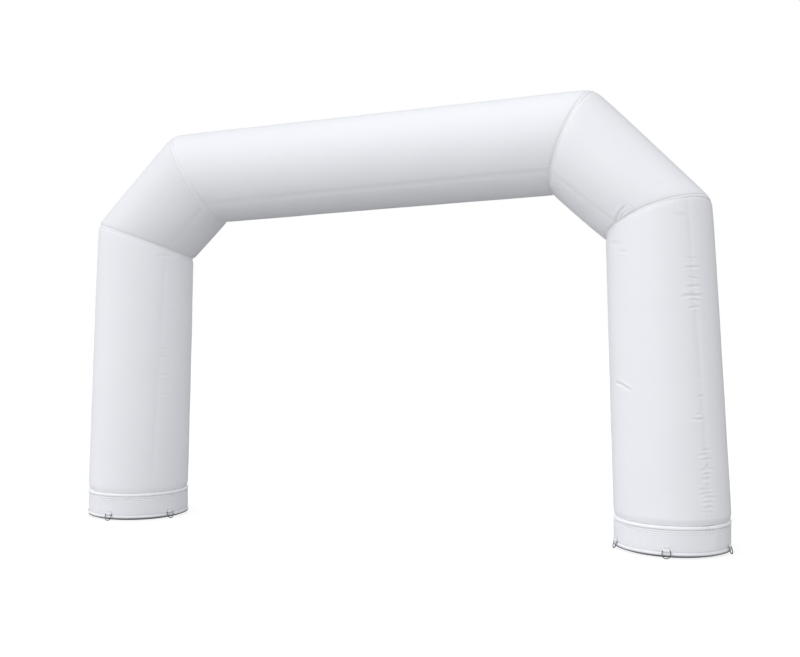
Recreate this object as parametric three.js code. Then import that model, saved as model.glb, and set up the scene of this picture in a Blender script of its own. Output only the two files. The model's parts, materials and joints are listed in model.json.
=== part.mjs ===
// Inflatable arch: five air-filled cloth tubes joined by sewn mitre seams, standing on two drum
// shaped foot bands with chrome D-rings for guy lines. Millimetres, +Z up, +X along the arch,
// -Y towards the front. Every air-filled tube is one closed solid of its outer shape.
import * as THREE from 'three';

// ---- driving dimensions ------------------------------------------------------------------

const FOOT_RADIUS = 478;          // the legs widen a little towards the ground
const PIPING_HEIGHT = 240;        // centre of the piping between a leg and its foot band
const CLEARANCE = 0.3;            // between two pieces that touch

// The centre line of the arch. The blown-up cloth stands a little uneven: the right side is
// taller, and the feet are set slightly behind and in front of the plane of the crossbeam.
// radius is that of the tubes where they meet.
// frontSlide and outerSlide move the front and the outside of a seam along the arch, from the
// left foot towards the right one, and the back and the inside the other way. outerDraw is how
// far the sewing draws the cloth in on the outside of the bend.
const CENTRE_LINE = {
  leftFoot: { x: -2564, y: 74, z: PIPING_HEIGHT },
  leftKnee: { x: -2449, y: 0, z: 2683, radius: 456, frontSlide: 50, outerSlide: -36, outerDraw: 17 },
  leftCrown: { x: -1863, y: 0, z: 3286, radius: 450, frontSlide: 25, outerSlide: -42, outerDraw: 24 },
  rightCrown: { x: 1736, y: 0, z: 3463, radius: 443, frontSlide: -55, outerSlide: 16, outerDraw: 22 },
  rightKnee: { x: 2455, y: 0, z: 2762, radius: 433, frontSlide: -85, outerSlide: 35, outerDraw: 17 },
  rightFoot: { x: 2567, y: -116, z: PIPING_HEIGHT },
};

// How a tube is drawn in where it is sewn to the next one: deepest at the seam, gone after 200.
const SEAM_DRAW_INNER = 6;
const SEAM_PROFILE = [
  { along: 0, share: 1 },
  { along: 25, share: 0.66 },
  { along: 80, share: 0.28 },
  { along: 200, share: 0.05 },
];

// The neck of a leg, which wraps over the foot piping.
const NECK_PROFILE = [
  { rise: 0.2, radius: 444 },
  { rise: 17, radius: 453.4 },
  { rise: 17.6, radius: 470 },
  { rise: 32, radius: 475.5 },
  { rise: 70, radius: FOOT_RADIUS },
];

// Lengthwise seams where the two cloth panels of a tube meet, as angles round the tube:
// 0 is the outside of the arch, 90 its front, 180 the inside, 270 the back.
const PANEL_SEAMS = {
  left_leg: [135, 315],
  left_shoulder: [135, 315],
  crossbeam: [135, 315],
  right_shoulder: [135, 315],
  right_leg: [45, 225],
};
const SEAM_CHANNEL_DEPTH = 5;
const SEAM_CHANNEL_HALF_WIDTH = 4;  // degrees round the tube
const SEAM_CHANNEL_EDGE = 0.2;      // share of the depth at the channel's edges
const SEAM_ANGLES = [45, 135, 225, 315];
const ROUND_STEPS = 32;
const BARREL = 2;                   // how far a tube swells halfway along
const MIDDLE_STEP = 800;            // between the plain rows of a long tube
const SEAM_GAP = 0.2;               // from a tube's end to the plane of its seam

const BINDING = { halfWidth: 9, thickness: 3.2, clearance: 0.95 };
const PIPING = { pathRadius: 463.5, radius: 19, sides: 6 };

// Foot band: a drum of cloth with a rolled hem, standing on its ground panel.
const FOOT_STEPS = 40;
const BAND_PROFILE = [
  { radius: 0, z: 3.3 },
  { radius: 415, z: 3.3 },
  { radius: 450, z: 9.8 },
  { radius: 466, z: 21 },
  { radius: 477, z: 25 },
  { radius: 481, z: 34 },
  { radius: 477, z: 43.5 },
  { radius: 474, z: 49 },
  { radius: 477, z: 58 },
  { radius: 477, z: 207 },
  { radius: 470, z: 214 },
  { radius: 459, z: 219 },
  { radius: 447, z: 222 },
  { radius: 439, z: 239.8 },
  { radius: 0, z: 239.8 },
];
const GROUND_PROFILE = [
  { radius: 0, z: 0 },
  { radius: 415, z: 0 },
  { radius: 450, z: 6.5 },
  { radius: 479, z: 16.5 },
  { radius: 479, z: 20 },
  { radius: 450, z: 9.4 },
  { radius: 415, z: 3 },
  { radius: 0, z: 3 },
];

// D-rings, spread round each foot. Azimuth 0 is the front, 90 the +X side.
const RING_AZIMUTHS = {
  left: [-77, -5, 67, 139, 211],
  right: [-68, -4, 72, 144, 216],
};
const RING = {
  wireRadius: 4,
  halfWidth: 33,
  straight: 24,
  drop: 55,
  corner: 4,
  barHeight: 60,
  swing: 20,                      // how far the lower end stands out over the hem
  arcSteps: 10,
  sides: 6,
};
const TAB = { width: 50, thickness: 2, top: 98, joinHeight: 74 };
const BAND_WALL = 477;

// ---- materials ---------------------------------------------------------------------------

function material(color, roughness, metalness = 0) {
  return new THREE.MeshStandardMaterial({ color, roughness, metalness });
}

const coatedCloth = material(0xeceef2, 0.45);
const pipingCloth = material(0xf3f4f7, 0.5);
const groundCloth = material(0x5c6066, 0.7);
const webbing = material(0xf0f1f4, 0.75);
const chrome = material(0xc8ccd0, 0.15, 1);

// ---- vectors and angles ------------------------------------------------------------------

const UP = new THREE.Vector3(0, 0, 1);
const FRONT = new THREE.Vector3(0, -1, 0);

function radians(degrees) {
  return THREE.MathUtils.degToRad(degrees);
}

function moved(point, ...steps) {
  const result = point.clone();
  for (const [direction, distance] of steps) result.addScaledVector(direction, distance);
  return result;
}

// Angles round a tube: even steps, with a close pair beside each possible lengthwise seam.
function roundAngles() {
  const angles = [];
  for (let step = 0; step < ROUND_STEPS; step += 1) angles.push((360 * step) / ROUND_STEPS);
  for (const seam of SEAM_ANGLES) {
    angles.push(seam - SEAM_CHANNEL_HALF_WIDTH, seam + SEAM_CHANNEL_HALF_WIDTH);
  }
  return angles.sort((a, b) => a - b);
}

const ANGLES = roundAngles();

// ---- closed meshes -----------------------------------------------------------------------

function signedVolume(points, faces) {
  let volume = 0;
  for (const [a, b, c] of faces) {
    volume += points[a].dot(new THREE.Vector3().crossVectors(points[b], points[c])) / 6;
  }
  return volume;
}

function solid(points, faces) {
  const outward = signedVolume(points, faces) > 0;
  const indices = faces.flatMap(([a, b, c]) => (outward ? [a, b, c] : [a, c, b]));
  const geometry = new THREE.BufferGeometry().setFromPoints(points);
  geometry.setIndex(indices);
  geometry.computeVertexNormals();
  return geometry;
}

function quads(faces, a, b, c, d) {
  faces.push([a, b, c], [a, c, d]);
}

// A solid through a row of rings, each with the same number of points, with a flat cap at each
// end made of triangles round the ring's middle.
function loft(rings) {
  const count = rings[0].length;
  const points = rings.flat();
  const faces = [];
  for (let row = 0; row + 1 < rings.length; row += 1) {
    for (let i = 0; i < count; i += 1) {
      const next = (i + 1) % count;
      quads(faces, row * count + i, row * count + next, (row + 1) * count + next,
        (row + 1) * count + i);
    }
  }
  for (const [row, flip] of [[0, true], [rings.length - 1, false]]) {
    const middle = points.length;
    points.push(rings[row].reduce((sum, p) => sum.add(p), new THREE.Vector3())
      .divideScalar(count));
    for (let i = 0; i < count; i += 1) {
      const a = row * count + i;
      const b = row * count + ((i + 1) % count);
      faces.push(flip ? [middle, b, a] : [middle, a, b]);
    }
  }
  return solid(points, faces);
}

// A ring-shaped solid: closed sections set round a closed path.
function closedSweep(sections) {
  const around = sections.length;
  const count = sections[0].length;
  const faces = [];
  for (let s = 0; s < around; s += 1) {
    for (let i = 0; i < count; i += 1) {
      const nextSection = ((s + 1) % around) * count;
      const next = (i + 1) % count;
      quads(faces, s * count + i, s * count + next, nextSection + next, nextSection + i);
    }
  }
  return solid(sections.flat(), faces);
}

// ---- the centre line and its seams -------------------------------------------------------

// Each joint has its own axes: along the arch, out of the arch, and towards the front.
function makeJoint(name, previous, next) {
  const { x, y, z, ...seam } = CENTRE_LINE[name];
  const at = new THREE.Vector3(x, y, z);
  const isFoot = !previous || !next;
  const along = new THREE.Vector3();
  let stretch = 1;
  if (isFoot) {
    along.copy(UP).multiplyScalar(previous ? -1 : 1);
  } else {
    const before = at.clone().sub(previous).normalize();
    const after = next.clone().sub(at).normalize();
    along.addVectors(before, after).normalize();
    stretch = 1 / along.dot(before);
  }
  const front = FRONT.clone().addScaledVector(along, -FRONT.dot(along)).normalize();
  const outward = new THREE.Vector3().crossVectors(front, along);
  return { name, at, along, front, outward, stretch, isFoot, ...seam };
}

function makeJoints() {
  const names = Object.keys(CENTRE_LINE);
  const places = names.map((name) => {
    const { x, y, z } = CENTRE_LINE[name];
    return new THREE.Vector3(x, y, z);
  });
  return names.map((name, i) => makeJoint(name, places[i - 1], places[i + 1]));
}

// Direction from the middle of a seam towards its point at an angle.
function seamDirection(joint, angle) {
  const cos = Math.cos(radians(angle));
  const sin = Math.sin(radians(angle));
  return moved(new THREE.Vector3(), [joint.outward, cos * joint.stretch], [joint.front, sin]);
}

// A point of the seam before it is drawn in.
function fullSeamPoint(joint, angle) {
  const turn = radians(angle);
  const slide = joint.frontSlide * Math.sin(turn) + joint.outerSlide * Math.cos(turn);
  return moved(joint.at, [seamDirection(joint, angle), joint.radius], [joint.along, slide]);
}

function seamDraw(joint, angle) {
  const outer = (1 + Math.cos(radians(angle))) / 2;
  return THREE.MathUtils.lerp(SEAM_DRAW_INNER, joint.outerDraw, outer);
}

// ---- tubes -------------------------------------------------------------------------------

// One straight tube between two joints. It is described line by line: for each angle round it,
// the points from its first end to its last one.
class Tube {
  constructor(name, first, last) {
    this.name = name;
    this.first = first;
    this.last = last;
    const axis = last.at.clone().sub(first.at);
    this.middleSteps = Math.max(1, Math.round(axis.length() / MIDDLE_STEP) - 1);
    axis.normalize();
    this.front = FRONT.clone().addScaledVector(axis, -FRONT.dot(axis)).normalize();
    this.outward = new THREE.Vector3().crossVectors(this.front, axis);
  }

  normal(angle) {
    const turn = radians(angle);
    return moved(new THREE.Vector3(), [this.outward, Math.cos(turn)], [this.front, Math.sin(turn)]);
  }

  channelDepth(angle) {
    const nearest = Math.min(...PANEL_SEAMS[this.name].map((seam) => Math.abs(angle - seam)));
    if (nearest > SEAM_CHANNEL_HALF_WIDTH) return 0;
    return SEAM_CHANNEL_DEPTH * (nearest === 0 ? 1 : SEAM_CHANNEL_EDGE);
  }

  // Rows of one end: the distance from it and how far they are drawn in there.
  endRows(joint, angle) {
    if (joint.isFoot) return [{ along: 0, inset: new THREE.Vector3(), swell: 0 }];
    const flat = seamDirection(joint, angle).normalize();
    const round = this.normal(angle);
    return SEAM_PROFILE.map(({ along, share }, i) => {
      const turn = i / (SEAM_PROFILE.length - 1);
      const direction = new THREE.Vector3().lerpVectors(flat, round, turn).normalize();
      const inset = direction.multiplyScalar(-seamDraw(joint, angle) * share);
      return { along: Math.max(along, SEAM_GAP), inset, swell: i === 0 ? 0 : 1 };
    });
  }

  line(angle) {
    const start = runEnd(this.first, angle);
    const end = runEnd(this.last, angle);
    const length = start.distanceTo(end);
    const inwards = end.clone().sub(start).normalize();
    const head = this.endRows(this.first, angle);
    const tail = this.endRows(this.last, angle)
      .map((row) => ({ ...row, along: length - row.along })).reverse();
    const from = head[head.length - 1].along;
    const to = tail[0].along;
    const middle = [];
    for (let step = 1; step <= this.middleSteps; step += 1) {
      const along = THREE.MathUtils.lerp(from, to, step / (this.middleSteps + 1));
      middle.push({ along, inset: new THREE.Vector3(), swell: 1 });
    }
    return [...head, ...middle, ...tail].map(({ along, inset, swell }) => {
      const rise = BARREL * Math.sin((Math.PI * along) / length) - this.channelDepth(angle);
      return moved(start, [inwards, along], [this.normal(angle), rise * swell]).add(inset);
    });
  }

  // A point a short way along a line from the seam at one end.
  nearSeam(joint, angle, distance) {
    const line = this.line(angle);
    if (joint === this.last) line.reverse();
    const share = distance / SEAM_PROFILE[1].along;
    return line[0].clone().lerp(line[1], share);
  }

  geometry() {
    const lines = ANGLES.map((angle) => this.line(angle));
    const rings = lines[0].map((_, row) => lines.map((line) => line[row]));
    if (this.first.isFoot) rings.unshift(...neckRings(this.first));
    if (this.last.isFoot) rings.push(...neckRings(this.last).reverse());
    return loft(rings);
  }
}

function neckPoint(joint, angle, { rise, radius }) {
  return moved(joint.at, [seamDirection(joint, angle), radius], [UP, rise]);
}

// Where the straight run of a tube ends: at its seam, or at the top of its neck.
function runEnd(joint, angle) {
  if (!joint.isFoot) return fullSeamPoint(joint, angle);
  return neckPoint(joint, angle, NECK_PROFILE[NECK_PROFILE.length - 1]);
}

function neckRings(joint) {
  const rows = NECK_PROFILE.slice(0, -1);
  return rows.map((row) => ANGLES.map((angle) => neckPoint(joint, angle, row)));
}

// ---- bindings and piping -----------------------------------------------------------------

// The flat strip sewn over a mitre seam, lying on the ends of both tubes.
function bindingGeometry(joint, before, after) {
  const sections = ANGLES.map((angle) => {
    const seam = moved(fullSeamPoint(joint, angle),
      [seamDirection(joint, angle).normalize(), -seamDraw(joint, angle)]);
    const places = [
      [before.nearSeam(joint, angle, BINDING.halfWidth), before.normal(angle)],
      [seam, seamDirection(joint, angle).normalize()],
      [after.nearSeam(joint, angle, BINDING.halfWidth), after.normal(angle)],
    ];
    const inner = places.map(([point, normal]) => moved(point, [normal, BINDING.clearance]));
    const outer = places.map(([point, normal]) => (
      moved(point, [normal, BINDING.clearance + BINDING.thickness])));
    return [...inner, ...outer.reverse()];
  });
  return closedSweep(sections);
}

// The corded piping round a leg, where its foot band is sewn on.
function pipingGeometry(joint) {
  const sections = ANGLES.map((angle) => {
    const section = [];
    for (let side = 0; side < PIPING.sides; side += 1) {
      const turn = (2 * Math.PI * side) / PIPING.sides;
      const radius = PIPING.pathRadius + PIPING.radius * Math.cos(turn);
      section.push(neckPoint(joint, angle, { rise: PIPING.radius * Math.sin(turn), radius }));
    }
    return section;
  });
  return closedSweep(sections);
}

// ---- feet --------------------------------------------------------------------------------

// Direction on the ground at an azimuth: 0 is the front, 90 the +X side.
function bearing(azimuth) {
  const turn = radians(azimuth);
  return new THREE.Vector3(Math.sin(turn), -Math.cos(turn), 0);
}

// The azimuths of a foot's corners: even steps from each D-ring to the next.
function cornerAzimuths(ringAzimuths) {
  const count = ringAzimuths.length;
  const steps = FOOT_STEPS / count;
  return ringAzimuths.flatMap((azimuth, i) => {
    const next = i + 1 < count ? ringAzimuths[i + 1] : ringAzimuths[0] + 360;
    return Array.from({ length: steps }, (_, step) => azimuth + ((next - azimuth) * step) / steps);
  });
}

// A turned solid whose corners line up with the foot's rings.
function footSolid(foot, azimuths, profile) {
  const inner = profile.slice(1, -1);
  return loft(inner.map(({ radius, z }) => azimuths.map((azimuth) => (
    new THREE.Vector3(foot.x, foot.y, z).addScaledVector(bearing(azimuth), radius)))));
}

// Places a point given across, outwards and up from the foot's middle at a ring's azimuth.
function ringPlace(foot, azimuth, across, outwards, height) {
  const side = new THREE.Vector3(Math.cos(radians(azimuth)), Math.sin(radians(azimuth)), 0);
  return moved(new THREE.Vector3(foot.x, foot.y, height), [side, across],
    [bearing(azimuth), outwards]);
}

const BAR_RADIUS = BAND_WALL + CLEARANCE + TAB.thickness + CLEARANCE + RING.wireRadius;

// The centre line of a D-ring as across and down distances: a straight bar, two short sides
// and a round lower end.
function ringOutline() {
  const { halfWidth, straight, drop, corner, arcSteps } = RING;
  const outline = [[-halfWidth + corner, 0], [halfWidth - corner, 0], [halfWidth, corner]];
  for (let step = 0; step <= arcSteps; step += 1) {
    const turn = (Math.PI * step) / arcSteps;
    outline.push([halfWidth * Math.cos(turn), straight + (drop - straight) * Math.sin(turn)]);
  }
  outline.push([-halfWidth, corner]);
  return outline;
}

function ringGeometry(foot, azimuth) {
  const outline = ringOutline();
  const lean = RING.swing / RING.drop;
  const path = outline.map(([across, down]) => (
    ringPlace(foot, azimuth, across, BAR_RADIUS + lean * down, RING.barHeight - down)));
  const middle = path.reduce((sum, p) => sum.add(p), new THREE.Vector3())
    .divideScalar(path.length);
  const bar = path[1].clone().sub(path[0]);
  const side = path[3].clone().sub(path[1]);
  const face = new THREE.Vector3().crossVectors(bar, side).normalize();
  const sections = path.map((point, i) => {
    const before = path[(i + path.length - 1) % path.length];
    const after = path[(i + 1) % path.length];
    const along = after.clone().sub(before).normalize();
    const outwards = new THREE.Vector3().crossVectors(along, face);
    if (outwards.dot(point.clone().sub(middle)) < 0) outwards.negate();
    const section = [];
    for (let side = 0; side < RING.sides; side += 1) {
      const turn = (2 * Math.PI * (side + 0.5)) / RING.sides;
      section.push(moved(point, [outwards, RING.wireRadius * Math.cos(turn)],
        [face, RING.wireRadius * Math.sin(turn)]));
    }
    return section;
  });
  return closedSweep(sections);
}

// The webbing tab that holds a D-ring: a loop round the bar, sewn flat above it. Its section
// is drawn outwards from the band's wall and up, and extruded across.
function tabGeometry(foot, azimuth) {
  const wall = BAND_WALL + CLEARANCE;
  const loop = RING.wireRadius + CLEARANCE + TAB.thickness;
  const hole = new THREE.Path();
  hole.absarc(BAR_RADIUS, RING.barHeight, RING.wireRadius + CLEARANCE, 0, 2 * Math.PI, true);
  const shape = new THREE.Shape();
  shape.moveTo(wall, TAB.top);
  shape.lineTo(wall, RING.barHeight);
  shape.absarc(BAR_RADIUS, RING.barHeight, loop, Math.PI, 2 * Math.PI, false);
  shape.lineTo(BAR_RADIUS + loop, RING.barHeight + loop / 2);
  shape.lineTo(wall + 2 * TAB.thickness, TAB.joinHeight);
  shape.lineTo(wall + 2 * TAB.thickness, TAB.top);
  shape.holes.push(hole);
  const geometry = new THREE.ExtrudeGeometry(shape, {
    depth: TAB.width, bevelEnabled: false, curveSegments: 6,
  });
  const side = new THREE.Vector3(Math.cos(radians(azimuth)), Math.sin(radians(azimuth)), 0);
  const place = new THREE.Matrix4().makeBasis(bearing(azimuth), UP, side.clone().negate());
  const corner = ringPlace(foot, azimuth, TAB.width / 2, 0, 0);
  place.setPosition(corner);
  geometry.applyMatrix4(place);
  return geometry;
}

// ---- assembly ----------------------------------------------------------------------------

const arch = new THREE.Group();

function add(name, geometry, finish) {
  const mesh = new THREE.Mesh(geometry, finish);
  mesh.name = name;
  arch.add(mesh);
}

const joints = makeJoints();
const tubes = Object.keys(PANEL_SEAMS).map((name, i) => new Tube(name, joints[i], joints[i + 1]));
for (const tube of tubes) add(tube.name, tube.geometry(), coatedCloth);

const bindings = ['left_knee_binding', 'left_crown_binding', 'right_crown_binding',
  'right_knee_binding'];
bindings.forEach((name, i) => {
  add(name, bindingGeometry(joints[i + 1], tubes[i], tubes[i + 1]), pipingCloth);
});

for (const [side, joint] of [['left', joints[0]], ['right', joints[joints.length - 1]]]) {
  const corners = cornerAzimuths(RING_AZIMUTHS[side]);
  add(`${side}_foot_piping`, pipingGeometry(joint), pipingCloth);
  add(`${side}_foot_band`, footSolid(joint.at, corners, BAND_PROFILE), coatedCloth);
  add(`${side}_ground_panel`, footSolid(joint.at, corners, GROUND_PROFILE), groundCloth);
  RING_AZIMUTHS[side].forEach((azimuth, ring) => {
    add(`${side}_tab_${ring + 1}`, tabGeometry(joint.at, azimuth), webbing);
    add(`${side}_ring_${ring + 1}`, ringGeometry(joint.at, azimuth), chrome);
  });
}

// The origin is the middle of the whole arch on the ground.
const box = new THREE.Box3().setFromObject(arch);
const middle = box.getCenter(new THREE.Vector3());
arch.position.set(-middle.x, -middle.y, 0);
arch.updateMatrixWorld(true);

export default arch;
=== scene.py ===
# %% [markdown]
# # An inflatable arch
# Five straight cloth tubes full of air are sewn together at slanted seams and stand on two short
# drum-shaped foot bands. The solids of the model give every piece its size and place. This
# script dresses them: fine cloth skins with seams and puckers, corded piping, webbing tabs,
# chrome D-rings, thread, and then a plain pale studio around them.

# %% Load the frame
import json
import math

import bpy
import numpy as np
from mathutils import Matrix, Vector

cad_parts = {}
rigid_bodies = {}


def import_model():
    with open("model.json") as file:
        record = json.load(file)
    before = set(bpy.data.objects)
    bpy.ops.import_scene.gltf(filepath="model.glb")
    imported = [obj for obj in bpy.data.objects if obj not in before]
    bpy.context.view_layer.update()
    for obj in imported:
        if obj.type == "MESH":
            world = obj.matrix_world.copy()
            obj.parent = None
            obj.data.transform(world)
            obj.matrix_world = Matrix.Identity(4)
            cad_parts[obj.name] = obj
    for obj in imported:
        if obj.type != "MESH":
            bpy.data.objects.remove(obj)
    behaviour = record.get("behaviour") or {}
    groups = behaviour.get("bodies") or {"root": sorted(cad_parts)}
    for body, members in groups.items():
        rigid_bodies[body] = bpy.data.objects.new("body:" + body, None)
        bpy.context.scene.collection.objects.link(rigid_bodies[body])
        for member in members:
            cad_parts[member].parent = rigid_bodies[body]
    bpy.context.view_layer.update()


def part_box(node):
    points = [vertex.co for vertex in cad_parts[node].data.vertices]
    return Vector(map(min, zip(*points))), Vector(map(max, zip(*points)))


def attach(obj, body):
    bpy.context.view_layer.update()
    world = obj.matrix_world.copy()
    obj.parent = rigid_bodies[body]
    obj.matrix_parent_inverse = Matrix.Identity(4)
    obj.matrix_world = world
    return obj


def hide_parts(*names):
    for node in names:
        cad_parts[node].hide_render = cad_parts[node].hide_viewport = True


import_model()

# %% [markdown]
# ## The camera
# A camera is placed by a point and three directions. Its own X axis points right, Y up, and it
# looks along its own -Z, so the three directions are the columns of its matrix. The lens comes
# from a focal length in picture widths, because a sensor 36 mm wide is Blender's default.

# %% Camera
CAMERA_PLACE = (2.670, -8.902, 1.785)
CAMERA_YAW = -0.2740      # radians, turned towards the left leg
CAMERA_PITCH = 0.0053
CAMERA_ROLL = 0.0030
PICTURE_WIDTH = 800
FOCAL_PIXELS = 1011.0
SENSOR_WIDTH = 36.0


def camera_axes(yaw, pitch, roll):
    forward = np.array([math.sin(yaw) * math.cos(pitch), math.cos(yaw) * math.cos(pitch),
                        math.sin(pitch)])
    level = np.array([math.cos(yaw), -math.sin(yaw), 0.0])
    raised = np.cross(level, forward)
    right = math.cos(roll) * level + math.sin(roll) * raised
    up = -math.sin(roll) * level + math.cos(roll) * raised
    return right, up, forward


def make_camera():
    right, up, forward = camera_axes(CAMERA_YAW, CAMERA_PITCH, CAMERA_ROLL)
    data = bpy.data.cameras.new("camera")
    data.sensor_fit = "HORIZONTAL"
    data.sensor_width = SENSOR_WIDTH
    data.lens = FOCAL_PIXELS / PICTURE_WIDTH * SENSOR_WIDTH
    camera = bpy.data.objects.new("camera", data)
    columns = np.column_stack([right, up, -forward])
    camera.matrix_world = Matrix.Translation(CAMERA_PLACE) @ Matrix(columns.tolist()).to_4x4()
    bpy.context.scene.collection.objects.link(camera)
    bpy.context.scene.camera = camera
    print("camera lens:", round(data.lens, 2), "mm")


make_camera()

# %% [markdown]
# ## Small helpers for materials
# Every finish is a node material. A helper that adds a node, sets its sockets and links it keeps
# each recipe short. Patterns read the piece's own UV map, which holds real metres along and
# round the cloth, so a weave follows the tube instead of cutting through it.

# %% Material helpers


def new_material(name):
    material = bpy.data.materials.new(name)
    material.use_nodes = True
    tree = material.node_tree
    shader = next(n for n in tree.nodes if n.type == "BSDF_PRINCIPLED")
    return material, tree, shader


def add_node(tree, kind, sockets=None, **settings):
    node = tree.nodes.new(kind)
    for key, value in settings.items():
        setattr(node, key, value)
    for key, value in (sockets or {}).items():
        node.inputs[key].default_value = value
    return node


def link(tree, out_socket, in_socket):
    tree.links.new(out_socket, in_socket)


def mixed_colour(tree, factor, first, second):
    mix = add_node(tree, "ShaderNodeMix", data_type="RGBA")
    link(tree, factor, mix.inputs[0])
    mix.inputs[6].default_value = (*first, 1)
    mix.inputs[7].default_value = (*second, 1)
    return mix.outputs[2]


def remapped(tree, value, low, high, new_low, new_high):
    node = add_node(tree, "ShaderNodeMapRange", {1: low, 2: high, 3: new_low, 4: new_high})
    link(tree, value, node.inputs[0])
    return node.outputs[0]


def woven_height(tree, coordinates, pitch):
    """A plain weave: two crossed sets of threads, one pitch apart."""
    total = None
    for direction in ("X", "Y"):
        wave = add_node(tree, "ShaderNodeTexWave", {"Scale": 1 / (pitch * 20) * math.pi},
                        wave_type="BANDS", bands_direction=direction, wave_profile="SIN")
        link(tree, coordinates, wave.inputs["Vector"])
        if total is None:
            total = wave.outputs["Fac"]
        else:
            product = add_node(tree, "ShaderNodeMath", operation="MULTIPLY")
            link(tree, total, product.inputs[0])
            link(tree, wave.outputs["Fac"], product.inputs[1])
            total = product.outputs[0]
    return total


def bumped(tree, shader, heights):
    """Chains bumps: each is (height socket, strength, distance)."""
    normal = None
    for height, strength, distance in heights:
        bump = add_node(tree, "ShaderNodeBump", {"Strength": strength, "Distance": distance})
        link(tree, height, bump.inputs["Height"])
        if normal is not None:
            link(tree, normal, bump.inputs["Normal"])
        normal = bump.outputs["Normal"]
    link(tree, normal, shader.inputs["Normal"])


# %% [markdown]
# ## Cloth finishes
# The tubes are woven polyester with a white coating. From a few metres it looks smooth and a
# little satin; close up the weave shows through the coating, and the coating is not equally
# bright or smooth everywhere. Broad noise tints it by a hair and a fine crossed wave raises it.

# %% Coated cloth


def coated_cloth(name, colour, shade, roughness, weave=0.0012, weave_strength=0.25):
    material, tree, shader = new_material(name)
    uv = add_node(tree, "ShaderNodeUVMap", uv_map="cloth")
    broad = add_node(tree, "ShaderNodeTexNoise", {"Scale": 3.2, "Detail": 3.0, "Roughness": 0.55})
    fine = add_node(tree, "ShaderNodeTexNoise", {"Scale": 90.0, "Detail": 4.0, "Roughness": 0.6})
    for noise in (broad, fine):
        link(tree, uv.outputs["UV"], noise.inputs["Vector"])
    tint = remapped(tree, broad.outputs["Fac"], 0.3, 0.7, 0.0, 1.0)
    link(tree, mixed_colour(tree, tint, shade, colour), shader.inputs["Base Color"])
    gloss = remapped(tree, fine.outputs["Fac"], 0.3, 0.7, roughness - 0.05, roughness + 0.06)
    link(tree, gloss, shader.inputs["Roughness"])
    shader.inputs["Specular IOR Level"].default_value = 0.35
    shader.inputs["Sheen Weight"].default_value = 0.04
    weave_map = woven_height(tree, uv.outputs["UV"], weave)
    bumped(tree, shader, [(broad.outputs["Fac"], 0.25, 0.004),
                          (fine.outputs["Fac"], 0.12, 0.0004),
                          (weave_map, weave_strength, 0.00012)])
    return material


# Small tone shifts, set after the light was fitted: a simple light can't shade every
# tube exactly, so these stand for what it leaves over. They aren't a measured colour of the
# cloth, and for other light all five are best set to 1.
# Painted light and shade: each tube's cloth is scaled lighter or darker to stand in for shading the light
# does not give.
TUBE_PAINTED_LIGHT = {"left_leg": 1.022, "left_shoulder": 0.950, "crossbeam": 1.0, "right_shoulder": 1.030,
             "right_leg": 0.995}
WHITE_CLOTH, WHITE_SHADE = (0.875, 0.892, 0.935), (0.864, 0.881, 0.925)
TUBE_CLOTH = {name: coated_cloth(f"coated_cloth_{name}", tuple(tone * c for c in WHITE_CLOTH),
                                 tuple(tone * c for c in WHITE_SHADE), 0.50)
              for name, tone in TUBE_PAINTED_LIGHT.items()}
BAND_CLOTH = coated_cloth("foot_band_cloth", WHITE_CLOTH, (0.862, 0.879, 0.922), 0.52)
BINDING_CLOTH = coated_cloth("binding_cloth", (0.925, 0.938, 0.965), (0.905, 0.920, 0.950), 0.55,
                             weave=0.0018, weave_strength=0.5)
# Partly painted shade: the ground cloth's own dark grey is taken darker still, so the thin line under the
# hem also carries the shadow that falls there.
GROUND_CLOTH_AND_SHADE = coated_cloth("ground_cloth", (0.200, 0.208, 0.220), (0.165, 0.172, 0.184), 0.6,
                            weave=0.0015, weave_strength=0.5)
print("cloth finishes:", len(TUBE_CLOTH) + 3)

# %% [markdown]
# ## Webbing, thread and chrome
# Webbing is a thick ribbed weave, so its ribs run across its length. Thread is a matt twisted
# yarn. Chrome is a clean mirror with a few soft smears in its roughness.

# %% Webbing, thread and chrome


def webbing_finish():
    material, tree, shader = new_material("webbing")
    uv = add_node(tree, "ShaderNodeUVMap", uv_map="cloth")
    ribs = woven_height(tree, uv.outputs["UV"], 0.0022)
    noise = add_node(tree, "ShaderNodeTexNoise", {"Scale": 60.0, "Detail": 3.0})
    link(tree, uv.outputs["UV"], noise.inputs["Vector"])
    tint = mixed_colour(tree, ribs, (0.80, 0.81, 0.83), (0.92, 0.925, 0.94))
    link(tree, tint, shader.inputs["Base Color"])
    shader.inputs["Roughness"].default_value = 0.75
    bumped(tree, shader, [(noise.outputs["Fac"], 0.2, 0.0005), (ribs, 0.8, 0.0004)])
    return material


def thread_finish():
    material, tree, shader = new_material("thread")
    place = add_node(tree, "ShaderNodeTexCoord")
    noise = add_node(tree, "ShaderNodeTexNoise", {"Scale": 900.0, "Detail": 2.0})
    link(tree, place.outputs["Object"], noise.inputs["Vector"])
    tint = mixed_colour(tree, noise.outputs["Fac"], (0.72, 0.73, 0.76), (0.88, 0.885, 0.90))
    link(tree, tint, shader.inputs["Base Color"])
    shader.inputs["Roughness"].default_value = 0.7
    bumped(tree, shader, [(noise.outputs["Fac"], 0.4, 0.0003)])
    return material


def chrome_finish():
    material, tree, shader = new_material("chrome")
    place = add_node(tree, "ShaderNodeTexCoord")
    noise = add_node(tree, "ShaderNodeTexNoise", {"Scale": 120.0, "Detail": 5.0})
    link(tree, place.outputs["Object"], noise.inputs["Vector"])
    tint = mixed_colour(tree, noise.outputs["Fac"], (0.66, 0.67, 0.69), (0.74, 0.75, 0.77))
    link(tree, tint, shader.inputs["Base Color"])
    gloss = remapped(tree, noise.outputs["Fac"], 0.35, 0.75, 0.12, 0.24)
    link(tree, gloss, shader.inputs["Roughness"])
    shader.inputs["Metallic"].default_value = 1.0
    bumped(tree, shader, [(noise.outputs["Fac"], 0.08, 0.0003)])
    return material


WEBBING = webbing_finish()
THREAD = thread_finish()
CHROME = chrome_finish()

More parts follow.
